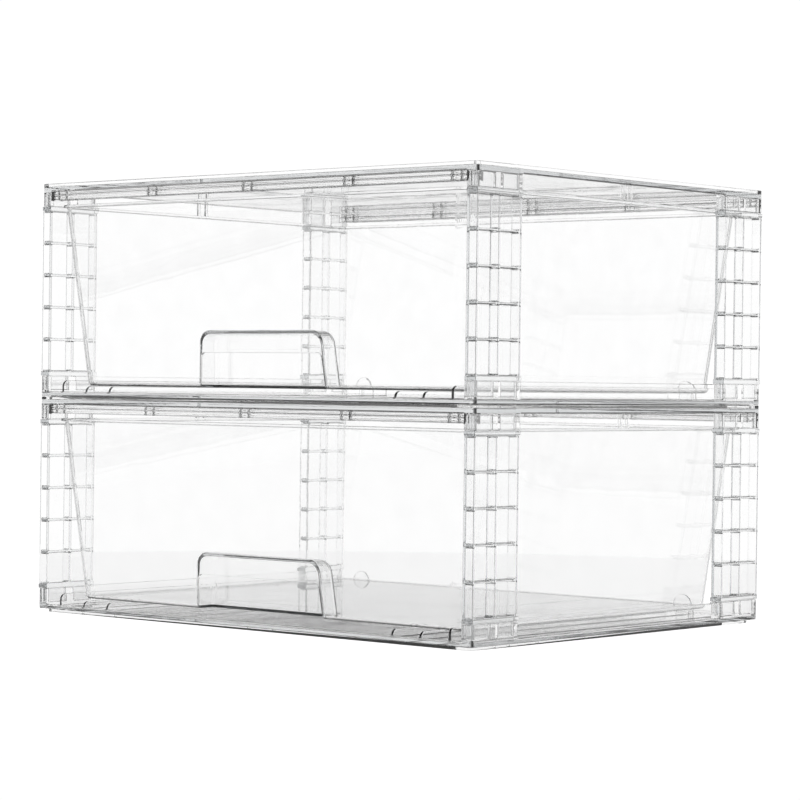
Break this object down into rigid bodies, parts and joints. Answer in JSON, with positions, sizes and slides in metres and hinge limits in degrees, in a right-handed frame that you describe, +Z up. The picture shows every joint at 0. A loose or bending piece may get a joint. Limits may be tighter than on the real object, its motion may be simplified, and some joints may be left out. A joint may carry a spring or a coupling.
{
  "type": "shoe box",
  "caption": "Clear plastic stacking shoe boxes: open frames with lattice corner columns, each holding a tapered pull-out drawer with a recessed finger pull.",
  "frame": {"origin": "middle of the footprint, on the surface that the foot rim stands on", "axes": "+X to the right across the front, +Y to the rear, +Z up; the drawers pull out along -Y"},
  "size_m": [0.42, 0.333, 0.3198],
  "materials": {
    "clear_panel": "clear, polished, injection moulded",
    "clear_column": "clear, polished, injection moulded",
    "clear_drawer": "clear, polished, injection moulded"
  },
  "bodies": {
    "lower_frame": {"lower_base_panel": "clear_panel", "lower_top_panel": "clear_panel", "lower_column_front_left": "clear_column", "lower_column_front_right": "clear_column", "lower_column_rear_left": "clear_column", "lower_column_rear_right": "clear_column"},
    "lower_drawer": {"lower_drawer": "clear_drawer"},
    "upper_frame": {"upper_base_panel": "clear_panel", "upper_top_panel": "clear_panel", "upper_column_front_left": "clear_column", "upper_column_front_right": "clear_column", "upper_column_rear_left": "clear_column", "upper_column_rear_right": "clear_column"},
    "upper_drawer": {"upper_drawer": "clear_drawer"}
  },
  "joints": [
    {"name": "lower_drawer_slide", "type": "slide", "parent": "lower_frame", "child": "lower_drawer", "axis": [0, -1, 0], "range_m": [0, 0.28]},
    {"name": "upper_unit_lift", "type": "slide", "parent": "lower_frame", "child": "upper_frame", "axis": [0, 0, 1], "range_m": [0, 0.05]},
    {"name": "upper_drawer_slide", "type": "slide", "parent": "upper_frame", "child": "upper_drawer", "axis": [0, -1, 0], "range_m": [0, 0.28]}
  ]
}
